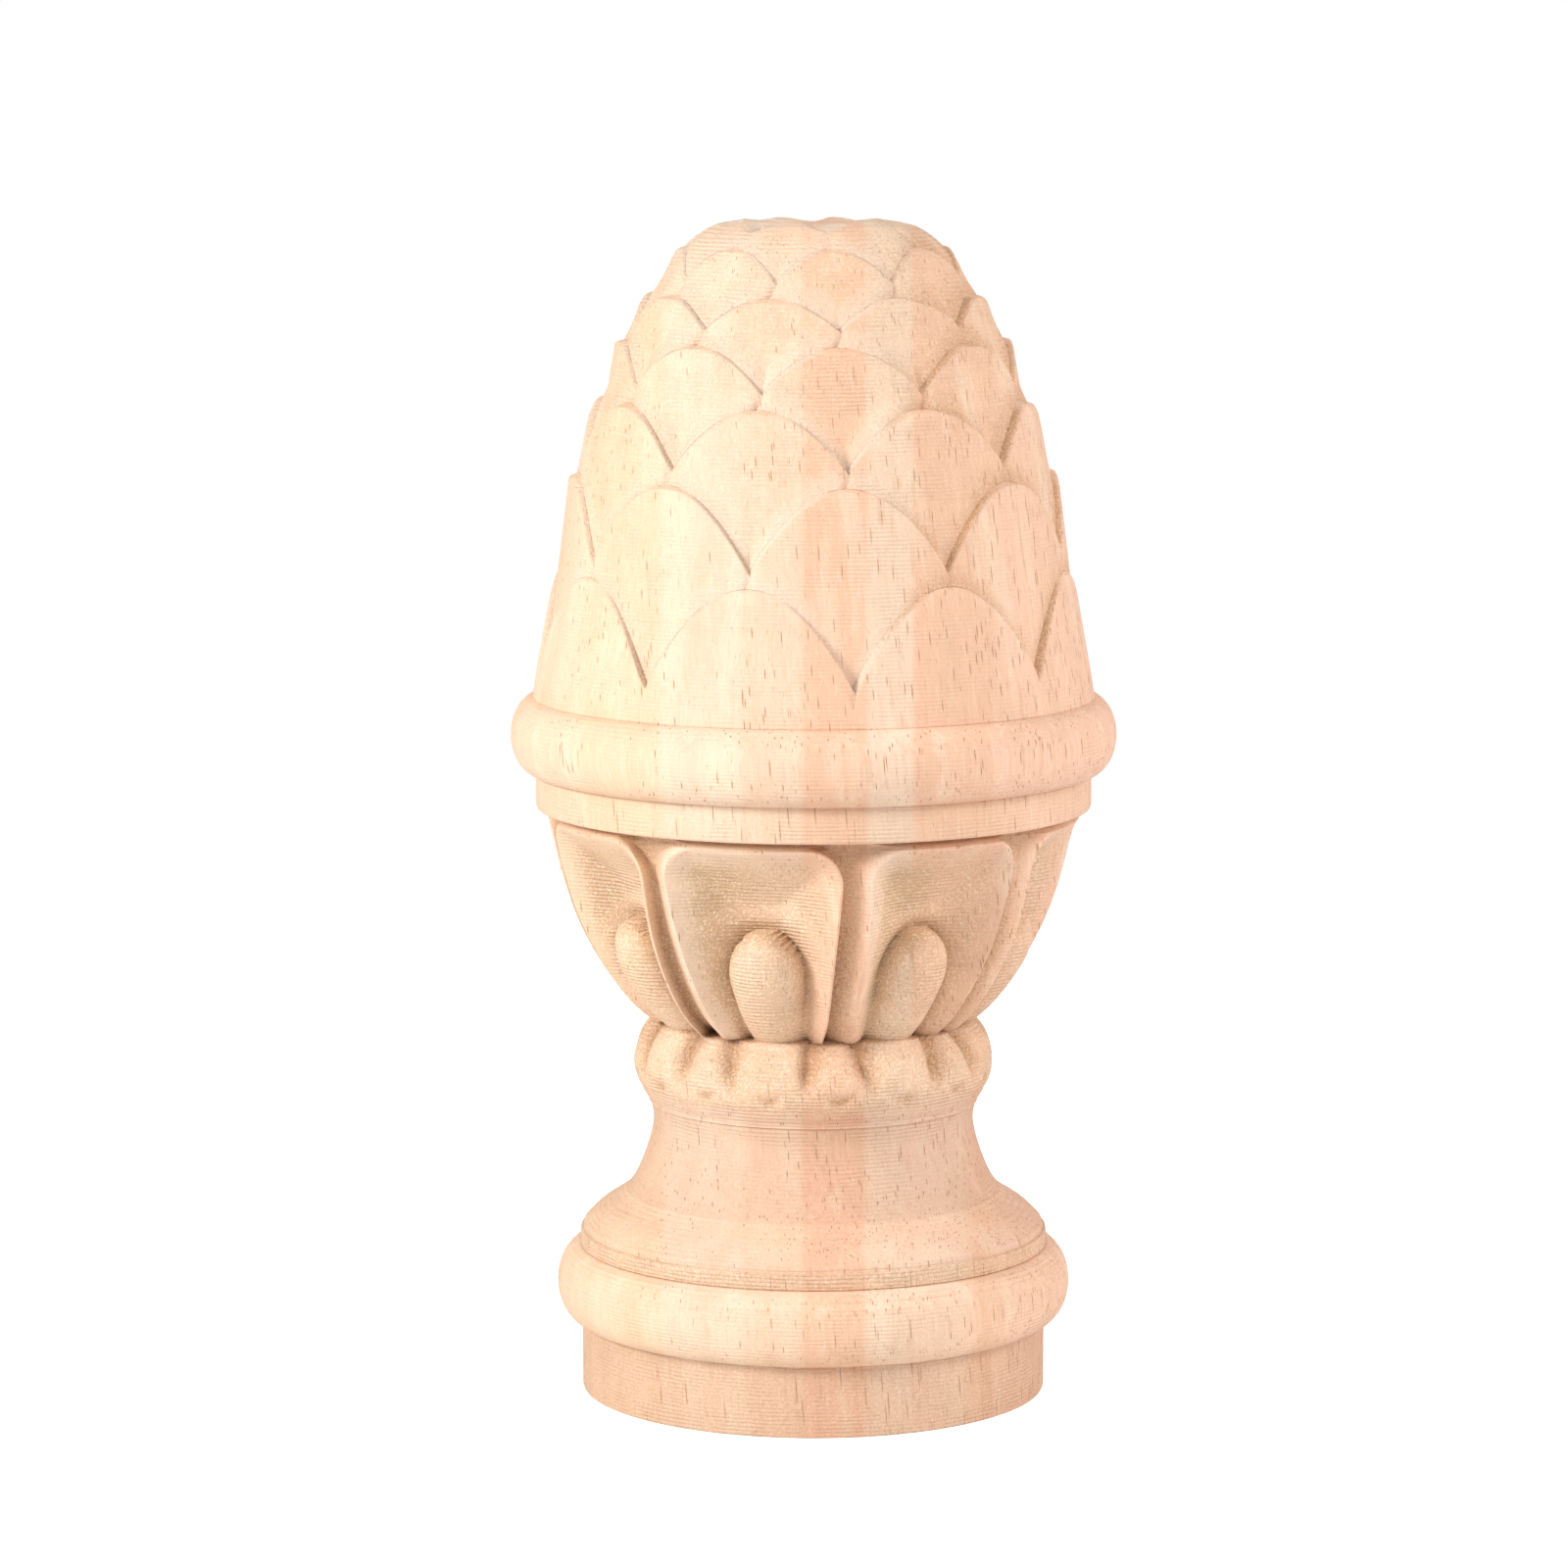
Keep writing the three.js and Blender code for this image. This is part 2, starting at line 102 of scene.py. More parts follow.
# Shares of the rim's height and of its step back, from the face's edge to the scale behind
RIM_STEPS = [(0.1, 0.02), (0.25, 0.1), (0.5, 0.36), (0.8, 0.76), (1.0, 0.97)]
CROWN_DIP = 0.3
# Shares of the crown's radius at which the notches of the last arches are drawn as they run out
CROWN_SHARES = (0.88, 0.7, 0.45, 0.2)
# Rows of points up each row's faces
FACE_ROWS = (15, 15, 13, 11, 10, 9, 11)
FACE_COLUMNS, FACE_EDGE_CROWDING = 25, 0.45
FACE_CLEARANCE = 0.06

# How fuzzy the cuts are and how strongly tool-marked the faces are, from 0 to 1 and a little over; in the
# bowl the tool-marked amount also carries painted shade in the hollows, grooves and gaps
NOTCH_FUZZ, DIMPLE_FUZZ = 1.3, 0.6
WAIST_FUZZ, WAIST_FUZZ_HALF = 0.8, 0.6
GAP_FUZZ_LOST, GAP_FUZZ_TOP, GAP_FUZZ_CLEAN = 0.45, 61, 68
SCALE_FUZZ, SCALE_FUZZ_REACH = 0.5, 2.0
BULB_TOOLED, GAP_TOOLED_AND_SHADED = 0.9, 0.9
# The side of each hollow towards smaller angles, which faces away from the key light, gets painted shade: its
# strength, the share of the hollow's depth it starts from, and the angles from the hollow's middle between
# which it comes in
HOLLOW_SIDE_SHADE, HOLLOW_SIDE_SHADE_FROM = 0.8, 0.4
HOLLOW_SIDE_SHADE_END, HOLLOW_SIDE_SHADE_FULL = 4, -8
SCALE_TOOLED_FIRST, SCALE_TOOLED_STEP, SCALE_TOOLED_MOST = 0.15, 0.125, 0.6

SECTOR = 360 / SECTORS
HALF_SECTOR = SECTOR / 2
PLAIN_COLUMNS = 96
SHARP_ANGLE = 36


def mix(a, b, t):
    return a + (b - a) * t


def blend(x, a, b):
    t = np.clip((x - a) / (b - a), 0, 1)
    return t * t * (3 - 2 * t)


def offset_from(angle, middle):
    return np.abs(np.mod(angle - middle + HALF_SECTOR, SECTOR) - HALF_SECTOR)


# A smooth curve through points, with the same spacing rule as the solid's outlines
def curve(points, per_span):
    p = np.array(points, float)
    p = np.vstack([2 * p[0] - p[1], p, 2 * p[-1] - p[-2]])
    rows = []
    for i in range(1, len(p) - 2):
        d0, d1, d2 = (math.sqrt(np.linalg.norm(p[i + k + 1] - p[i + k])) for k in (-1, 0, 1))
        t1 = ((p[i] - p[i - 1]) / d0 - (p[i + 1] - p[i - 1]) / (d0 + d1) + (p[i + 1] - p[i]) / d1) * d1
        t2 = ((p[i + 1] - p[i]) / d1 - (p[i + 2] - p[i]) / (d1 + d2) + (p[i + 2] - p[i + 1]) / d2) * d1
        t = np.linspace(0, 1, per_span, endpoint=False)[:, None]
        rows.append(
            (2 * t**3 - 3 * t**2 + 1) * p[i]
            + (t**3 - 2 * t**2 + t) * t1
            + (3 * t**2 - 2 * t**3) * p[i + 1]
            + (t**3 - t**2) * t2
        )
    rows.append(p[-2][None])
    return np.vstack(rows)


# The same outline with fine lines cut in it: every other row of points lies a little inside
def lined(points, pitch, depth):
    p = np.array(points, float)
    along = np.concatenate([[0], np.cumsum(np.hypot(*np.diff(p, axis=0).T))])
    count = 2 * int(along[-1] / pitch) + 1
    at = np.linspace(0, along[-1], count)
    radius, height = np.interp(at, along, p[:, 0]), np.interp(at, along, p[:, 1])
    return np.stack([radius - depth * (np.arange(count) % 2), height], 1)


def bead(inner, outer, bottom, top, divisions):
    turn = np.radians(np.linspace(-90, 90, divisions + 1))
    middle, half = (bottom + top) / 2, (top - bottom) / 2
    return np.stack([inner + (outer - inner) * np.cos(turn), middle + half * np.sin(turn)], 1)


collar_outline = curve(
    [(NECK_LINE_RADIUS, NECK_LINE_HEIGHT + 0.4), (22.3, 39.8), (COLLAR_RADIUS, COLLAR_MIDDLE),
     (22.6, 45.6), (WAIST_RADIUS, WAIST_HEIGHT)], 16)
bowl_outline = curve(
    [(WAIST_RADIUS, WAIST_HEIGHT), (24, 50.9), (27.4, 55.5), (30.4, 61.5), (32.3, 67.6),
     (BOWL_TOP_RADIUS, BOWL_TOP)], 16)


def radius_at(outline, height):
    return np.interp(height, outline[:, 1], outline[:, 0])


# Rings of points from the underside up: angle, radius, height, how fuzzy each is, how tool-marked it is,
# which in the bowl also carries painted shade, and how much painted shade darkens it
layers = []


def add_ring(angle, radius, height, fuzz=0.0, tooling_and_shade=0.0, painted_shade=0.0, depth=0.0, lean=0.0):
    angle = angle - np.degrees(depth * math.tan(math.radians(lean)) / radius)
    shape = np.broadcast(angle, radius, height)
    columns = (angle, radius, height, fuzz, tooling_and_shade, painted_shade)
    values = [np.broadcast_to(np.asarray(v, float), shape.shape) for v in columns]
    layers.append(np.stack(values, 1))


plain_angles = np.arange(PLAIN_COLUMNS) * 360 / PLAIN_COLUMNS


def add_turned(rows, tooling_and_shade=0.0, painted_shade=0.0, fuzz=0.0):
    for radius, height in rows:
        add_ring(plain_angles, radius, height, fuzz, tooling_and_shade, painted_shade)


def sector_angles(half):
    whole = np.concatenate([half, SECTOR - half[1:-1][::-1]])
    return (np.arange(SECTORS)[:, None] * SECTOR + whole).ravel()


def collar_relief(angle, height):
    envelope = radius_at(collar_outline, height)
    rise = np.clip((height - COLLAR_NOTCH_FOOT) / (WAIST_HEIGHT - COLLAR_NOTCH_FOOT), 0, 1)
    notch_offset = mix(COLLAR_NOTCH_OFFSET_FOOT, COLLAR_NOTCH_OFFSET_TOP, rise)
    offset = offset_from(angle, 0)
    reach = mix(COLLAR_NOTCH_HALF_FOOT, COLLAR_NOTCH_HALF_TOP, rise)
    across = np.radians(np.abs(offset - notch_offset)) * envelope / reach
    depth = COLLAR_NOTCH_DEPTH * blend(height, COLLAR_NOTCH_FOOT, COLLAR_NOTCH_FULL)
    notch = depth * np.exp(-(across**COLLAR_NOTCH_POWER))
    side = np.radians(offset_from(2 * angle, 0) / 2) * envelope
    above = height - LOBE_DIMPLE_HEIGHT - LOBE_DIMPLE_CURVE * side**2
    dimple = np.exp(-((side / LOBE_DIMPLE_HALF_WIDTH) ** 2) - (above / LOBE_DIMPLE_HALF_HEIGHT) ** 2)
    line = COLLAR_LINE_DEPTH * np.exp(-(((height - COLLAR_LINE_HEIGHT) / COLLAR_LINE_HALF) ** 2))
    fuzz = np.clip(notch / COLLAR_NOTCH_DEPTH * NOTCH_FUZZ + dimple * DIMPLE_FUZZ, 0, 1)
    return envelope - notch - LOBE_DIMPLE_DEPTH * dimple - line, fuzz, notch


def lift_of(height):
    return np.clip((height - WAIST_HEIGHT) / (LEAF_TOP - WAIST_HEIGHT), 0, 1)


def leaf_half_angle(height):
    return mix(LEAF_HALF_ANGLE_FOOT, LEAF_HALF_ANGLE_TOP, lift_of(height))


def corner_half_angle(height, envelope):
    rise = np.clip(height - (LEAF_TOP - LEAF_CORNER), 0, LEAF_CORNER)
    inset = LEAF_CORNER - math.sqrt(LEAF_CORNER**2 - rise**2)
    return leaf_half_angle(height) - math.degrees(inset / envelope)


def inside_leaf(offset, height, envelope):
    side = LEAF_CORNER - np.radians(leaf_half_angle(height) - offset) * envelope
    top = LEAF_CORNER - (LEAF_TOP - height)
    outside = np.hypot(np.maximum(side, 0), np.maximum(top, 0)) + np.minimum(np.maximum(side, top), 0)
    return LEAF_CORNER - outside


def bowl_relief(angle, height):
    envelope = radius_at(bowl_outline, height)
    offset = offset_from(angle, 0)
    inside = inside_leaf(offset, height, envelope)
    lift = lift_of(height)
    gap = LEAF_GAP_DEPTH * (1 - blend(inside, -LEAF_WALL, LEAF_EDGE))
    low = (height - WAIST_HEIGHT) / GAP_HOLE_HEIGHT
    from_gap = np.radians(HALF_SECTOR - offset) * envelope / GAP_HOLE_WIDTH
    gap = gap + GAP_HOLE_DEPTH * np.exp(-low**2 - from_gap**2)
    reach = mix(HOLLOW_REACH_FOOT, HOLLOW_REACH_TOP, lift)
    share = np.clip((inside - mix(RIM_WIDTH_FOOT, RIM_WIDTH_TOP, lift)) / reach, 0, 1)
    depth = mix(HOLLOW_DEPTH_FOOT, HOLLOW_DEPTH_TOP, blend(lift, 0.0, HOLLOW_FULL_LIFT))
    rise = np.maximum(height - BULB_WIDEST, 0) / (BULB_TOP - BULB_WIDEST)
    across = np.hypot(offset / BULB_HALF_ANGLE, rise)
    groove = np.exp(-(((across - 1) / BULB_GROOVE_SPREAD) ** 2))
    hollow = (depth + BULB_GROOVE * groove) * (1 - (1 - share) ** HOLLOW_CURVE)
    bulb = mix(BULB_CREST_DEPTH, BULB_EDGE_DEPTH, 1 - np.sqrt(np.clip(1 - across**2, 0, 1)))
    on_bulb = across < 1
    carved = np.maximum(gap, hollow)
    carved = np.where(on_bulb, np.minimum(carved, bulb), carved)
    waist_fuzz = WAIST_FUZZ * np.exp(-(((height - WAIST_HEIGHT) / WAIST_FUZZ_HALF) ** 2))
    fuzz = np.clip(np.maximum(gap / LEAF_GAP_DEPTH, waist_fuzz), 0, 1)
    fuzz = fuzz * (1 - GAP_FUZZ_LOST * blend(height, GAP_FUZZ_TOP, GAP_FUZZ_CLEAN))
    # The tool-marked amount is tool marks and painted shade: it grows with the hollow's depth and runs over 1
    # in the groove round each bulb
    depth_share = hollow / HOLLOW_DEPTH_FOOT
    tooling_and_shade = np.clip(np.maximum(depth_share, BULB_TOOLED * on_bulb), 0, 1) + groove * share
    # Painted shade on the side of each hollow towards smaller angles, away from the key light
    from_middle = np.mod(angle + HALF_SECTOR, SECTOR) - HALF_SECTOR
    deep = np.clip(depth_share - HOLLOW_SIDE_SHADE_FROM, 0, 1)
    side = blend(from_middle, HOLLOW_SIDE_SHADE_END, HOLLOW_SIDE_SHADE_FULL)
    tooling_and_shade = tooling_and_shade + HOLLOW_SIDE_SHADE * deep * side * ~on_bulb
    # The gaps take tool marks and painted shade with their fuzz
    tooling_and_shade = np.maximum(tooling_and_shade, GAP_TOOLED_AND_SHADED * fuzz)
    return envelope - carved, fuzz, tooling_and_shade, np.where(gap > hollow, gap, 0)


# Places of the hand-carved leaves, a little off the even ones
def wander(angle, height):
    places = np.arange(len(WANDER) + 1) * HALF_SECTOR
    shift = np.interp(angle, places, WANDER + WANDER[:1])
    turn, reach, most = NARROW_GAP
    narrowing = blend(height, NARROW_GAP_TOP, NARROW_GAP_FULL)
    shift = shift + most * np.exp(-(((angle - turn) / reach) ** 2)) * narrowing
    from_waist = blend(height, WAIST_HEIGHT, WAIST_HEIGHT + WANDER_RISE)
    to_top = blend(height, BOWL_TOP + WANDER_END, BOWL_TOP + WANDER_BACK)
    return angle + shift * from_waist * to_top


# Columns of points across half a leaf: on the bulb, at its edge, in the hollow, on the rim, on the wall and
# in the gap, with the angles that the bulb's edge takes and that stay free round it and in the gap
LEAF_COLUMNS = (8, 4, 4, 3, 3, 2)
BULB_EDGE_INSIDE, BULB_EDGE_OUTSIDE = 1.2, 0.8
BULB_FREE, LEAF_FREE, WALL_FREE = 2.2, 1.6, 0.6
RIM_STRIP = 1.2


def bowl_angles(height):
    envelope = float(radius_at(bowl_outline, height))
    per_mm = math.degrees(1 / envelope)
    outer = min(corner_half_angle(height, envelope), HALF_SECTOR - LEAF_FREE)
    rim = outer - RIM_STRIP * per_mm
    bulb = min(BULB_HALF_ANGLE, rim - BULB_FREE)
    wall = min(outer + LEAF_WALL * per_mm, HALF_SECTOR - WALL_FREE)
    knots = [0, bulb - BULB_EDGE_INSIDE, bulb + BULB_EDGE_OUTSIDE, rim, outer, wall, HALF_SECTOR]
    half = [0.0]
    for a, b, n in zip(knots, knots[1:], LEAF_COLUMNS):
        half += list(a + (b - a) * np.arange(1, n + 1) / n)
    return sector_angles(np.array(half))


def row_middle(row):
    return 0.0 if row % 2 == 0 else HALF_SECTOR


def valley_of(row):
    return FIRST_VALLEY if row == 0 else SCALE_ROWS[row - 1]["tip"] + SEAM_HEIGHT


def arch_at(row, angle):
    share = offset_from(angle, row_middle(row)) / HALF_SECTOR
    return SCALE_ROWS[row]["tip"] - (SCALE_ROWS[row]["tip"] - valley_of(row)) * share**ARCH_POWER


def arch_slope(row, angle):
    share = offset_from(angle, row_middle(row)) / HALF_SECTOR
    half_width = math.radians(HALF_SECTOR) * SCALE_ROWS[row]["tip_radius"]
    return (SCALE_ROWS[row]["tip"] - valley_of(row)) * ARCH_POWER * share ** (ARCH_POWER - 1) / half_width


def root_height(row):
    if row == 0:
        return RING_TOP
    return FIRST_VALLEY if row == 1 else SCALE_ROWS[row - 2]["tip"]


def scale_radius(row, angle, height):
    s = SCALE_ROWS[row]
    rise = np.clip((height - root_height(row)) / (s["tip"] - root_height(row)), 0, 1)
    lean = (1 - rise ** s["fullness"]) ** (1 / s["fullness"])
    upright = s["tip_radius"] + (s["root_radius"] - s["tip_radius"]) * lean
    offset = offset_from(angle, row_middle(row))
    share = offset / HALF_SECTOR
    from_seam = np.radians(HALF_SECTOR - offset) * upright / SEAM_HALF
    seam = SEAM_DEPTH * np.exp(-(from_seam**2))
    if row == 0:
        return upright + (SCALE_FLATTEN * share**2 - seam) * blend(height, RING_TOP, FIRST_VALLEY)
    above = (height - arch_at(row - 1, angle)) / SWELL_HEIGHT
    return upright + SCALE_FLATTEN * share**2 - seam + s["swell"] * (1 - share**2) * np.exp(-(above**2))


# Angles across half a scale, a little closer at its middle and at its seam
def scale_half():
    even = np.linspace(0, 1, FACE_COLUMNS)
    crowded = (1 - np.cos(math.pi * even)) / 2
    return HALF_SECTOR * mix(even, crowded, FACE_EDGE_CROWDING)


def add_scales(row, face_rows, depth_behind):
    angle = sector_angles(scale_half())
    last = row == len(SCALE_ROWS) - 1
    bottom = np.full_like(angle, RING_TOP) if row == 0 else arch_at(row - 1, angle) + FACE_CLEARANCE
    top = arch_at(row, angle)
    share = offset_from(angle, row_middle(row)) / HALF_SECTOR
    rim = mix(RIM_TIP, RIM_FLANK, share) * np.sqrt(1 + arch_slope(row, angle) ** 2)
    shoulder = top - np.minimum(rim, 0.6 * (top - bottom))
    behind = SCALE_ROWS[row]["tip_radius"] - RIM_TIP if last else scale_radius(row + 1, angle, top)
    tooling_and_shade = min(SCALE_TOOLED_MOST, SCALE_TOOLED_FIRST + SCALE_TOOLED_STEP * row)
    for i in range(face_rows + 1):
        height = mix(bottom, shoulder, i / face_rows)
        depth = depth_behind * (1 - i / face_rows) ** 2
        fuzz = SCALE_FUZZ * np.exp(-(((height - bottom) / SCALE_FUZZ_REACH) ** 2)) if row else 0.0
        add_ring(angle, scale_radius(row, angle, height), height, fuzz, tooling_and_shade, 0.0, depth, SCALE_LEAN)
    step = scale_radius(row, angle, top) - behind
    for up, back in RIM_STEPS:
        height = mix(shoulder, top, up)
        fuzz = min(1.0, 2 * back) * blend(share, 0.1, 0.5)
        radius = mix(scale_radius(row, angle, height), behind, back)
        add_ring(angle, radius, height, fuzz, tooling_and_shade, 0.0, step * back, SCALE_LEAN)
    return step


# Rows of the foot's bead and of the flare that have fine lines turned in them
BEAD_DIVISIONS = 26
BEAD_LINED_FROM, BEAD_LINED_TO = 19, 25
FLARE_LINED_TO = 16

# Foot and neck
# Painted shade darkens the foot, the step, the flare and the neck, and a little of the bead, by the amounts
# given
add_turned([(FOOT_RADIUS - FOOT_EDGE, 0), (FOOT_RADIUS - 0.1, 0.12), (FOOT_RADIUS, FOOT_EDGE),
            (FOOT_RADIUS, 3), (FOOT_RADIUS, 6), (FOOT_RADIUS, FOOT_TOP - 0.5)],
           tooling_and_shade=0.5, painted_shade=0.75, fuzz=0.2)
foot_bead = bead(FOOT_RADIUS, FOOT_BEAD_RADIUS, FOOT_TOP, FOOT_BEAD_TOP, BEAD_DIVISIONS)
add_turned(foot_bead[:BEAD_LINED_FROM], tooling_and_shade=0.35, painted_shade=0.1)
add_turned(lined(foot_bead[BEAD_LINED_FROM:BEAD_LINED_TO], TURNED_PITCH, 2 * TURNED_DEPTH), tooling_and_shade=0.2)
add_turned(foot_bead[BEAD_LINED_TO:], tooling_and_shade=0.2)
add_turned([(STEP_RADIUS, FOOT_BEAD_TOP + 0.15), (STEP_RADIUS, STEP_TOP - 0.4),
            (STEP_RADIUS - 0.03, STEP_TOP - 0.1)], tooling_and_shade=1.0, painted_shade=0.3, fuzz=0.12)
add_turned([(STEP_RADIUS - 0.12, STEP_TOP), (STEP_RADIUS - 0.4, STEP_TOP + 0.05)], tooling_and_shade=0.6, painted_shade=0.5)
flare = curve(
    [(STEP_RADIUS - 0.55, STEP_TOP + 0.8), (STEP_RADIUS - STEP_LIP, STEP_TOP + 2.4), (23.9, 26.1),
     (21.9, 29.8), (NECK_RADIUS, NECK_HEIGHT), (NECK_LINE_RADIUS - NECK_LINE_DEPTH, NECK_LINE_HEIGHT)], 8)
add_turned(lined(flare[:FLARE_LINED_TO], TURNED_PITCH, TURNED_DEPTH), tooling_and_shade=0.3, painted_shade=0.5)
add_turned(flare[FLARE_LINED_TO:], tooling_and_shade=0.35, painted_shade=0.9)

# Collar and bowl, whose rings are closest at the tops of the bulbs: from, to and how many
COLLAR_ROWS, COLLAR_COLUMNS = 24, 25
COLLAR_TOOLED, COLLAR_TOOLED_FROM, COLLAR_TOOLED_FULL = 0.9, 38.5, 40.5
# Painted shade on the collar, strongest at its foot under the bowl, fading between these heights
COLLAR_SHADE_FOOT, COLLAR_SHADE_TOP, COLLAR_SHADE_FROM, COLLAR_SHADE_TO = 0.7, 0.15, 38, 42
BOWL_ROWS = [(48.3, 62, 30), (62.3, 65, 9), (65.5, 74.8, 22)]
collar_rows = np.linspace(NECK_LINE_HEIGHT + 0.4, WAIST_HEIGHT, COLLAR_ROWS)
for height in [NECK_LINE_HEIGHT + 0.12, *collar_rows]:
    angle = sector_angles(np.linspace(0, HALF_SECTOR, COLLAR_COLUMNS))
    radius, fuzz, depth = collar_relief(angle, height)
    tooling_and_shade = COLLAR_TOOLED * blend(height, COLLAR_TOOLED_FROM, COLLAR_TOOLED_FULL)
    # Painted shade, darker at the collar's foot
    painted_shade = mix(COLLAR_SHADE_FOOT, COLLAR_SHADE_TOP, blend(height, COLLAR_SHADE_FROM, COLLAR_SHADE_TO))
    add_ring(angle, radius, height, fuzz, tooling_and_shade, painted_shade, depth, COLLAR_LEAN)
for height in np.concatenate([np.linspace(*stretch) for stretch in BOWL_ROWS]):
    angle = bowl_angles(height)
    radius, fuzz, tooling_and_shade, depth = bowl_relief(angle, height)
    add_ring(wander(angle, height), radius, height, fuzz, tooling_and_shade, 0.0, depth, LEAF_LEAN)

# Fillet and ring
add_turned([(BOWL_TOP_RADIUS - LEAF_GAP_DEPTH, BOWL_TOP - 0.05), (FILLET_RADIUS - FILLET_EDGE, BOWL_TOP),
            (FILLET_RADIUS - 0.15, BOWL_TOP + 0.15), (FILLET_RADIUS, BOWL_TOP + FILLET_EDGE),
            (FILLET_RADIUS, FILLET_TOP - 0.6)], tooling_and_shade=0.35)
add_turned(bead(FILLET_RADIUS, RING_RADIUS, FILLET_TOP, RING_TOP, BEAD_DIVISIONS))

# Cone of scales
depth_behind = 0.0
for row, face_rows in enumerate(FACE_ROWS):
    depth_behind = add_scales(row, face_rows, depth_behind)

# Crown: the notches between the last arches run out towards a slightly dished middle
angle, radius, height, fuzz, tooling_and_shade, painted_shade = layers[-1].T
for share in CROWN_SHARES:
    fade = share**3
    add_ring(angle, share * radius, mix(HEIGHT - CROWN_DIP, height, fade), fade * fuzz, tooling_and_shade)


# Triangles between two rings: the points of one are as many as the other's, or a multiple of them
def stitch(faces, start_a, n_a, start_b, n_b):
    if n_a == n_b:
        i = np.arange(n_a)
        j = (i + 1) % n_a
        faces.append(np.stack([start_a + i, start_a + j, start_b + j], 1))
        faces.append(np.stack([start_a + i, start_b + j, start_b + i], 1))
        return
    few, many = (n_a, n_b) if n_a < n_b else (n_b, n_a)
    step = many // few
    made = []
    for i in range(few):
        j = (i + 1) % few
        for k in range(step):
            m, n = i * step + k, (i * step + k + 1) % many
            near = i if k < step / 2 else j
            made.append((near, m, n))
        made.append((i, j, i * step + (step + 1) // 2))
    on_many = np.arange(len(made)) % (step + 1) < step
    tip, m, n = np.array(made)[on_many].T
    i, j, far = np.array(made)[~on_many].T
    if n_a < n_b:
        faces.append(np.stack([start_a + tip, start_b + n, start_b + m], 1))
        faces.append(np.stack([start_a + i, start_a + j, start_b + far], 1))
    else:
        faces.append(np.stack([start_a + m, start_a + n, start_b + tip], 1))
        faces.append(np.stack([start_a + far, start_b + j, start_b + i], 1))


def build_finial():
    data = np.vstack(layers)
    turn = np.radians(data[:, 0])
    points = np.stack([data[:, 1] * np.sin(turn), -data[:, 1] * np.cos(turn), data[:, 2]], 1)
    faces, start = [], 0
    for lower, upper in zip(layers, layers[1:]):
        stitch(faces, start, len(lower), start + len(lower), len(upper))
        start += len(lower)
    total = len(points)
    # The middle of the underside and of the crown, with a fan of triangles to each
    points = np.vstack([points, [0, 0, 0], [0, 0, HEIGHT - CROWN_DIP]])
    n, m = len(layers[0]), len(layers[-1])
    i = np.arange(n)
    faces.append(np.stack([np.full(n, total), (i + 1) % n, i], 1))
    i = np.arange(m)
    faces.append(np.stack([np.full(m, total + 1), total - m + i, total - m + (i + 1) % m], 1))
    faces = np.vstack(faces)
    mesh = bpy.data.meshes.new("carved_finial")
    mesh.from_pydata((points / MM_PER_METRE).tolist(), [], faces.tolist())
    mesh.shade_smooth()
    mesh.set_sharp_from_angle(angle=math.radians(SHARP_ANGLE))
    for column, name in enumerate(("fuzz", "tooling_and_shade", "painted_shade"), 3):
        attribute = mesh.attributes.new(name, "FLOAT", "POINT")
        attribute.data.foreach_set("value", np.append(data[:, column], [0, 0]).astype(np.float32))
    mesh.update()
    piece = bpy.data.objects.new("carved_finial", mesh)
    bpy.context.collection.objects.link(piece)
    return piece


finial = build_finial()


# Camera, from its distance, height, pitch and aim in the photograph
CAMERA_AZIMUTH = 14.3
CAMERA_DISTANCE, CAMERA_HEIGHT, CAMERA_SIDE = 716.7, 176.5, -3.77
CAMERA_PITCH = 7.81
CAMERA_LENS, CAMERA_SENSOR = 130.0, 36
CAMERA_NEAR, CAMERA_FAR = 0.01, 20


def add_camera():
    data = bpy.data.cameras.new("camera")
    data.lens = CAMERA_LENS
    data.sensor_width = CAMERA_SENSOR
    camera = bpy.data.objects.new("camera", data)
    bpy.context.collection.objects.link(camera)
    turn = Matrix.Rotation(math.radians(CAMERA_AZIMUTH), 4, "Z")
    place = [size / MM_PER_METRE for size in (CAMERA_SIDE, -CAMERA_DISTANCE, CAMERA_HEIGHT)]
    camera.location = turn @ Vector(place)
    camera.rotation_euler = (math.radians(90 - CAMERA_PITCH), 0, math.radians(CAMERA_AZIMUTH))
    data.clip_start, data.clip_end = CAMERA_NEAR, CAMERA_FAR
    bpy.context.scene.camera = camera


add_camera()


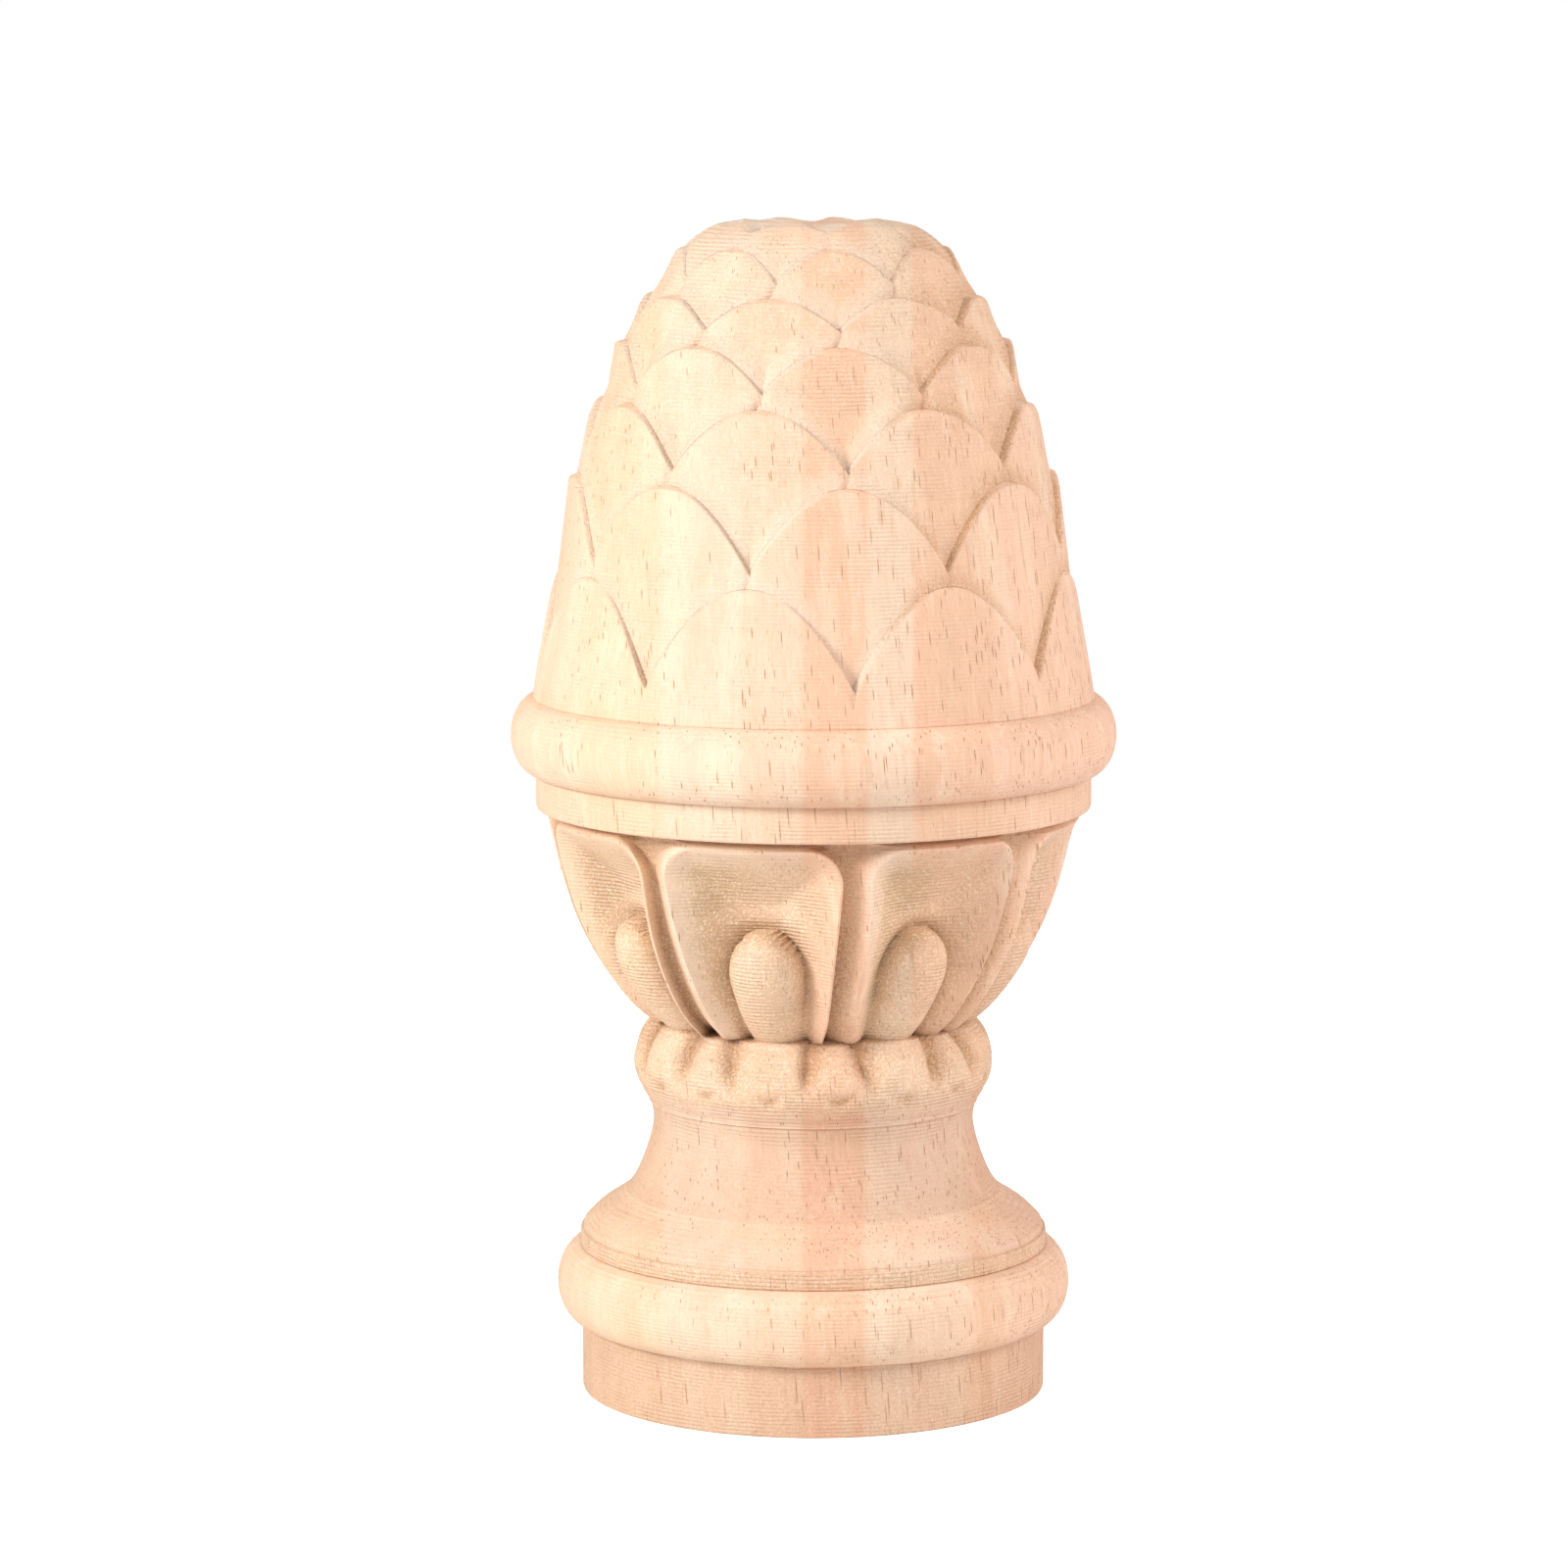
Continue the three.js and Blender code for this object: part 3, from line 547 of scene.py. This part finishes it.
# A material's nodes, each made by a short call
class Nodes:
    def __init__(self, name):
        self.material = bpy.data.materials.new(name)
        self.material.use_nodes = True
        self.tree = self.material.node_tree
        self.shader = self.tree.nodes["Principled BSDF"]

    def node(self, kind, **inputs):
        made = self.tree.nodes.new(kind)
        for key, value in inputs.items():
            if key in ("operation", "attribute_name"):
                setattr(made, key, value)
                continue
            numbered = key[0] == "i" and key[1:].isdigit()
            socket = made.inputs[int(key[1:]) if numbered else key]
            if isinstance(value, bpy.types.NodeSocket):
                self.tree.links.new(value, socket)
            else:
                socket.default_value = value
        return made

    def math(self, operation, a, b=0.0, c=0.0):
        return self.node("ShaderNodeMath", operation=operation, i0=a, i1=b, i2=c).outputs[0]

    def scaled(self, vector, scale):
        return self.node("ShaderNodeVectorMath", operation="MULTIPLY", i0=vector, i1=scale).outputs[0]

    def noise(self, vector, detail, roughness=0.5):
        made = self.node("ShaderNodeTexNoise", Vector=vector, Scale=1.0, Detail=detail, Roughness=roughness)
        return made.outputs["Fac"]

    def span(self, value, low, high, out_low=0.0, out_high=1.0, smooth=False):
        made = self.node("ShaderNodeMapRange", Value=value, i1=low, i2=high, i3=out_low, i4=out_high)
        if smooth:
            made.interpolation_type = "SMOOTHSTEP"
        return made.outputs[0]

    # Level lines left by the cutter, strong in patches and faint between them
    def tool_lines(self, place, height):
        wobble = self.noise(self.scaled(place, TOOL_WOBBLE_CELLS), 2)
        shift = self.math("MULTIPLY", wobble, TOOL_WOBBLE)
        wave = self.math("MULTIPLY_ADD", height, 2 * math.pi / TOOL_PITCH, shift)
        patch = self.span(self.noise(self.scaled(place, TOOL_PATCH_CELLS), 1), 0.36, 0.55)
        return self.math("MULTIPLY", self.math("SINE", wave), patch)

    # Thin dashes along the grain: some cells of a stretched cell pattern, from their middles out
    def dashes(self, place, scale, reach, core, limit):
        cells = self.node("ShaderNodeTexVoronoi", Vector=self.scaled(place, scale), Scale=1.0, Randomness=1.0)
        pick = self.node("ShaderNodeSeparateColor", Color=cells.outputs["Color"]).outputs[0]
        dash = self.span(cells.outputs["Distance"], reach, core, smooth=True)
        return self.math("MULTIPLY", dash, self.math("LESS_THAN", pick, limit))

    def tint(self, base, colour, amount, kind="MIX"):
        made = self.tree.nodes.new("ShaderNodeMix")
        made.data_type = "RGBA"
        made.blend_type = kind
        for index, value in ((0, amount), (6, base), (7, colour)):
            if isinstance(value, bpy.types.NodeSocket):
                self.tree.links.new(value, made.inputs[index])
            else:
                made.inputs[index].default_value = value
        return made.outputs[2]


# Wood: the staves' turn and the grain's lean, the blur at a stave's edge and half the block's width
STAVE_TURN, GRAIN_LEAN = 14.3, 4.5
STAVE_EDGE, BLOCK_HALF = 0.4, 40
# The cutter lines' spacing, and how far their waves are shifted by the wobble, in radians
TOOL_PITCH, TOOL_WOBBLE = 0.5, 6.0
# Right edge of each glued stave across the block, and its tone
STAVES = [
    (-29, (0.76, 0.54, 0.375)), (-19, (0.77, 0.535, 0.36)), (-9, (0.77, 0.57, 0.42)),
    (-1.5, (0.76, 0.53, 0.38)), (6.3, (0.74, 0.44, 0.30)), (12, (0.75, 0.54, 0.40)),
    (22, (0.74, 0.44, 0.305)), (BLOCK_HALF, (0.75, 0.46, 0.33)),
]
PALE_STAVE = (0.77, 0.57, 0.43, 1)
BROAD_DARK, BROAD_LIGHT = (0.63, 0.42, 0.28, 1), (0.80, 0.64, 0.48, 1)
FIBRE_DARK, FIBRE_LIGHT = (0.54, 0.33, 0.21, 1), (0.84, 0.70, 0.55, 1)
PORE_BROWN, STREAK_BROWN = (0.38, 0.17, 0.085, 1), (0.52, 0.27, 0.15, 1)
# Tan of tool marks, which in the hollows also stands for painted shade, and the brown of painted shade in the
# hollows and grooves
TOOLED_AND_SHADED_TAN, PAINTED_SHADE_BROWN = (0.70, 0.49, 0.33, 1), (0.52, 0.31, 0.16, 1)
SPECK_DARK, SPECK_LIGHT = (0.58, 0.38, 0.22, 1), (0.88, 0.72, 0.54, 1)
# Pale fibre in the cuts, partly painted light on the cone's creases, and torn fibre's brown, partly painted
# shade
PALE_FIBRE_AND_LIGHT, TORN_FIBRE_AND_SHADE_BROWN = (0.90, 0.76, 0.62, 1), (0.54, 0.27, 0.115, 1)
# Grey of the painted shade on the lower parts, and the cutter lines' brown
PAINTED_SHADE_TINT, LINE_BROWN = (0.80, 0.75, 0.74, 1), (0.58, 0.36, 0.22, 1)
ROUGHNESS, SHEEN = 0.72, 0.28
# Cells of each pattern in a millimetre across, deep and up
TOOL_WOBBLE_CELLS, TOOL_PATCH_CELLS = (0.15, 0.15, 0.5), (0.22, 0.22, 0.3)
BROAD_CELLS, FIBRE_CELLS = (0.28, 0.28, 0.012), (2.6, 2.6, 0.09)
RICHNESS_CELLS, STREAK_CELLS = (0.09, 0.09, 0.02), (1.3, 1.3, 0.04)
LONG_PORE_CELLS, SHORT_PORE_CELLS = (3.4, 1.5, 0.13), (4.2, 3.2, 0.5)
SPECK_CELLS, FINE_CELLS = (3.4, 3.4, 3.0), (2.4, 2.4, 2.0)
# Places across the block and up the part between which a marking comes in
PALE_STAVE_LEFT, PALE_STAVE_RIGHT, PALE_STAVE_TOP = (11.5, 12.5), (20.5, 18.5), (52, 40)
# The torn brown, partly painted shade, is strongest to the right, away from the key light, and under the
# ring; the pale cuts, partly painted light, are on the cone
TORN_SHADE_RIGHT, TORN_SHADE_LEFT, TORN_SHADE_BELOW, PALE_LIT_CUTS_ABOVE = (5, 15), (-6, -16), (78, 74), (86, 90)
PORES_ACROSS, STREAKS_ACROSS = (-30, 30), (-15, 22)
# How strongly each marking colours the wood at most
PALE_STAVE_SHARE, PORE_SHARE, TOOLED_AND_SHADED_SHARE, PAINTED_SHADE_SHARE = 0.7, 0.85, 0.25, 0.5
BROAD_SHARES, FIBRE_SHARES, SPECK_SHARES = (0.45, 0.5), (0.42, 0.4), (0.62, 0.55)
TORN_SHADE_INNER, TORN_SHADE_SHARES, PALE_LIT_CUT_SHARE = 0.12, (1, 0.28, 0.85), 0.8
LINE_SHARE, LINE_TOOLED, LINE_UNDER_SHADE = 0.11, 0.07, -0.06
# Heights of the relief, in millimetres
LINE_RELIEF, LINE_RELIEF_TOOLED, FIBRE_RELIEF, PORE_RELIEF = 0.018, 0.03, 0.05, 0.05
TOOLED_RELIEF, FUZZ_RELIEF = 0.08, 0.5


# Glued staves side by side, each with its own tone and a thin blurred edge
def stave_colour(w, across):
    ramp = w.tree.nodes.new("ShaderNodeValToRGB")
    w.tree.links.new(w.span(across, -BLOCK_HALF, BLOCK_HALF), ramp.inputs[0])
    stops = ramp.color_ramp.elements
    stops.remove(stops[1])
    stops[0].position, stops[0].color = 0, (*STAVES[0][1], 1)
    for (edge, before), (_, after) in zip(STAVES, STAVES[1:]):
        stops.new((edge + BLOCK_HALF - STAVE_EDGE) / (2 * BLOCK_HALF)).color = (*before, 1)
        stops.new((edge + BLOCK_HALF + STAVE_EDGE) / (2 * BLOCK_HALF)).color = (*after, 1)
    return ramp.outputs[0]


# Broad bands and fine fibres along the grain, and one stave that is paler in the foot and neck
def add_grain(w, colour, grain, fibre, across, height):
    pale_foot = w.math("MULTIPLY", w.span(across, *PALE_STAVE_LEFT), w.span(across, *PALE_STAVE_RIGHT))
    pale_foot = w.math("MULTIPLY", w.span(height, *PALE_STAVE_TOP), pale_foot)
    colour = w.tint(colour, PALE_STAVE, w.math("MULTIPLY", pale_foot, PALE_STAVE_SHARE))
    broad = w.noise(w.scaled(grain, BROAD_CELLS), 3, 0.55)
    colour = w.tint(colour, BROAD_DARK, w.span(broad, 0.5, 0.75, 0, BROAD_SHARES[0]))
    colour = w.tint(colour, BROAD_LIGHT, w.span(broad, 0.48, 0.3, 0, BROAD_SHARES[1]))
    colour = w.tint(colour, FIBRE_DARK, w.span(fibre, 0.52, 0.8, 0, FIBRE_SHARES[0]))
    return w.tint(colour, FIBRE_LIGHT, w.span(fibre, 0.46, 0.25, 0, FIBRE_SHARES[1]))


# Long and short pores, more of them to the right and in rich patches
def pore_dashes(w, grain, across):
    richness = w.noise(w.scaled(grain, RICHNESS_CELLS), 1)
    by_side = w.span(across, *PORES_ACROSS, 0.08, 0.5)
    limit = w.math("ADD", by_side, w.span(richness, 0.35, 0.65, -0.15, 0.2))
    long_pore = w.dashes(grain, LONG_PORE_CELLS, 0.3, 0.14, limit)
    short_pore = w.dashes(grain, SHORT_PORE_CELLS, 0.28, 0.12, w.math("MULTIPLY", limit, 0.6))
    return w.math("MAXIMUM", long_pore, w.math("MULTIPLY", short_pore, 0.5))


# Specks on tooled faces, painted shade in the hollows and grooves, and pale and torn fibre in the cuts: the
# pale is partly painted light on the cone, and the torn brown, darkest at the sides and low down, is partly
# painted shade away from the key light and under the ring
def add_cut_marks(w, colour, place, across, height, fuzz, tooling_and_shade):
    speck = w.noise(w.scaled(place, SPECK_CELLS), 2, 0.8)
    # Tan of tool marks, partly painted shade in the hollows
    colour = w.tint(colour, TOOLED_AND_SHADED_TAN, w.math("MULTIPLY", tooling_and_shade, TOOLED_AND_SHADED_SHARE))
    # Painted shade in the hollows and grooves, where the tool-marked amount runs over 1
    colour = w.tint(colour, PAINTED_SHADE_BROWN, w.span(tooling_and_shade, 1.0, 1.8, 0, PAINTED_SHADE_SHARE))
    dark = w.span(speck, 0.46, 0.6, 0.0, SPECK_SHARES[0])
    colour = w.tint(colour, SPECK_DARK, w.math("MULTIPLY", tooling_and_shade, dark))
    light = w.span(speck, 0.45, 0.34, 0.0, SPECK_SHARES[1])
    colour = w.tint(colour, SPECK_LIGHT, w.math("MULTIPLY", tooling_and_shade, light))
    # Torn fibre, partly painted shade: strongest on the right, away from the key light, and low down under
    # the ring
    right = w.span(across, *TORN_SHADE_RIGHT, TORN_SHADE_INNER, TORN_SHADE_SHARES[0], smooth=True)
    left = w.span(across, *TORN_SHADE_LEFT, TORN_SHADE_INNER, TORN_SHADE_SHARES[1], smooth=True)
    below = w.span(height, *TORN_SHADE_BELOW, TORN_SHADE_INNER, TORN_SHADE_SHARES[2])
    sides = w.math("MAXIMUM", w.math("MAXIMUM", right, left), below)
    torn_and_shade = w.math("MULTIPLY", fuzz, sides)
    # Pale fibre, partly painted light, lightens the cone's cuts
    above = w.span(height, *PALE_LIT_CUTS_ABOVE, 0, PALE_LIT_CUT_SHARE)
    pale = w.math("MULTIPLY", w.math("SUBTRACT", fuzz, torn_and_shade), above)
    colour = w.tint(colour, PALE_FIBRE_AND_LIGHT, pale)
    return w.tint(colour, TORN_FIBRE_AND_SHADE_BROWN, w.math("MULTIPLY", torn_and_shade, w.span(speck, 0.38, 0.58, 0.2, 0.95)))


def wood_material():
    w = Nodes("bare_wood")
    place = w.scaled(w.node("ShaderNodeTexCoord").outputs["Object"], (MM_PER_METRE,) * 3)
    turned = w.node("ShaderNodeVectorRotate", Vector=place, Angle=-math.radians(STAVE_TURN)).outputs[0]
    leaning = w.node("ShaderNodeVectorRotate", Vector=turned, Angle=math.radians(GRAIN_LEAN))
    leaning.rotation_type = "Y_AXIS"
    grain = leaning.outputs[0]
    across = w.node("ShaderNodeSeparateXYZ", Vector=turned).outputs[0]
    height = w.node("ShaderNodeSeparateXYZ", Vector=place).outputs[2]
    fuzz = w.node("ShaderNodeAttribute", attribute_name="fuzz").outputs["Fac"]
    tooling_and_shade = w.node("ShaderNodeAttribute", attribute_name="tooling_and_shade").outputs["Fac"]
    painted_shade = w.node("ShaderNodeAttribute", attribute_name="painted_shade").outputs["Fac"]

    fibre = w.noise(w.scaled(grain, FIBRE_CELLS), 4, 0.65)
    colour = add_grain(w, stave_colour(w, across), grain, fibre, across, height)
    pore = pore_dashes(w, grain, across)
    colour = w.tint(colour, PORE_BROWN, w.math("MULTIPLY", pore, PORE_SHARE))
    streak = w.span(w.noise(w.scaled(grain, STREAK_CELLS), 2), 0.6, 0.72)
    streak = w.math("MULTIPLY", streak, w.span(across, *STREAKS_ACROSS, 0.05, 0.4))
    colour = w.tint(colour, STREAK_BROWN, streak)
    colour = add_cut_marks(w, colour, place, across, height, fuzz, tooling_and_shade)
    # Painted shade darkens the foot, the flare, the neck and the collar's foot
    colour = w.tint(colour, PAINTED_SHADE_TINT, painted_shade, "MULTIPLY")
    waves = w.tool_lines(place, height)
    ridge = w.math("MULTIPLY_ADD", waves, 0.5, 0.5)
    line_share = w.math("MULTIPLY_ADD", painted_shade, LINE_UNDER_SHADE, LINE_SHARE)
    line_share = w.math("MULTIPLY_ADD", tooling_and_shade, LINE_TOOLED, line_share)
    colour = w.tint(colour, LINE_BROWN, w.math("MULTIPLY", ridge, line_share))
    w.tree.links.new(colour, w.shader.inputs["Base Color"])
    w.shader.inputs["Roughness"].default_value = ROUGHNESS
    w.shader.inputs["Specular IOR Level"].default_value = SHEEN

    relief = w.math("MULTIPLY", waves, w.math("MULTIPLY_ADD", tooling_and_shade, LINE_RELIEF_TOOLED, LINE_RELIEF))
    relief = w.math("ADD", relief, w.math("MULTIPLY", fibre, FIBRE_RELIEF))
    relief = w.math("SUBTRACT", relief, w.math("MULTIPLY", pore, PORE_RELIEF))
    fine = w.noise(w.scaled(place, FINE_CELLS), 3, 0.7)
    rough = w.math("MULTIPLY_ADD", tooling_and_shade, TOOLED_RELIEF, w.math("MULTIPLY", fuzz, FUZZ_RELIEF))
    relief = w.math("MULTIPLY_ADD", fine, rough, relief)
    bump = w.node("ShaderNodeBump", Strength=1.0, Distance=0.001, Height=relief)
    w.tree.links.new(bump.outputs[0], w.shader.inputs["Normal"])
    return w.material


finial.data.materials.append(wood_material())
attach(finial, "root")
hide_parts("finial")


# Floor, soft light and the pale surroundings
FLOOR_RADIUS, FLOOR_CORNERS = 0.42, 96
FLOOR_TONE, FLOOR_ROUGHNESS = (0.75, 0.75, 0.75, 1), 0.9
WHITE = (1, 1, 1, 1)
# Brightness as light on the part, and as seen in the picture
FLOOR_GLOW, FLOOR_SEEN = 0.25, 0.9
SURROUND_GLOW, SURROUND_SEEN = 0.38, 1.0
# Each light's turn from the camera and elevation in degrees, distance and size in metres, and watts
LIGHTS = {"key": (-60, 25, 0.7, 0.22, 4.5), "fill": (80, 24, 0.8, 0.4, 4.1), "front": (6, 38, 1.4, 0.5, 6.5)}
LIGHTS_AIM = Vector((0, 0, 0.08))


def add_floor():
    mesh = bpy.data.meshes.new("floor")
    turn = np.linspace(0, 2 * math.pi, FLOOR_CORNERS, endpoint=False)
    rim = [(FLOOR_RADIUS * math.cos(a), FLOOR_RADIUS * math.sin(a), 0) for a in turn]
    mesh.from_pydata(rim, [], [range(len(rim))])
    floor = bpy.data.objects.new("floor", mesh)
    bpy.context.collection.objects.link(floor)
    w = Nodes("pale_floor")
    w.shader.inputs["Base Color"].default_value = FLOOR_TONE
    w.shader.inputs["Roughness"].default_value = FLOOR_ROUGHNESS
    w.shader.inputs["Emission Color"].default_value = WHITE
    seen = w.node("ShaderNodeLightPath").outputs["Is Camera Ray"]
    w.tree.links.new(w.span(seen, 0, 1, FLOOR_GLOW, FLOOR_SEEN), w.shader.inputs["Emission Strength"])
    mesh.materials.append(w.material)


def add_light(name, azimuth, elevation, distance, size, power):
    data = bpy.data.lights.new(name, "AREA")
    data.energy, data.size = power, size
    light = bpy.data.objects.new(name, data)
    bpy.context.collection.objects.link(light)
    a, e = math.radians(CAMERA_AZIMUTH + azimuth), math.radians(elevation)
    back = Vector((math.sin(a) * math.cos(e), -math.cos(a) * math.cos(e), math.sin(e)))
    light.location = LIGHTS_AIM + back * distance
    light.rotation_euler = (-back).to_track_quat("-Z", "Y").to_euler()


def add_surroundings():
    world = bpy.data.worlds.new("surroundings")
    world.use_nodes = True
    surround = world.node_tree.nodes["Background"]
    surround.inputs[0].default_value = WHITE
    seen = world.node_tree.nodes.new("ShaderNodeLightPath")
    strength = world.node_tree.nodes.new("ShaderNodeMapRange")
    strength.inputs["To Min"].default_value = SURROUND_GLOW
    strength.inputs["To Max"].default_value = SURROUND_SEEN
    world.node_tree.links.new(seen.outputs["Is Camera Ray"], strength.inputs["Value"])
    world.node_tree.links.new(strength.outputs[0], surround.inputs[1])
    bpy.context.scene.world = world
    bpy.context.scene.view_settings.view_transform = "Standard"


add_floor()
for name, settings in LIGHTS.items():
    add_light(name, *settings)
add_surroundings()
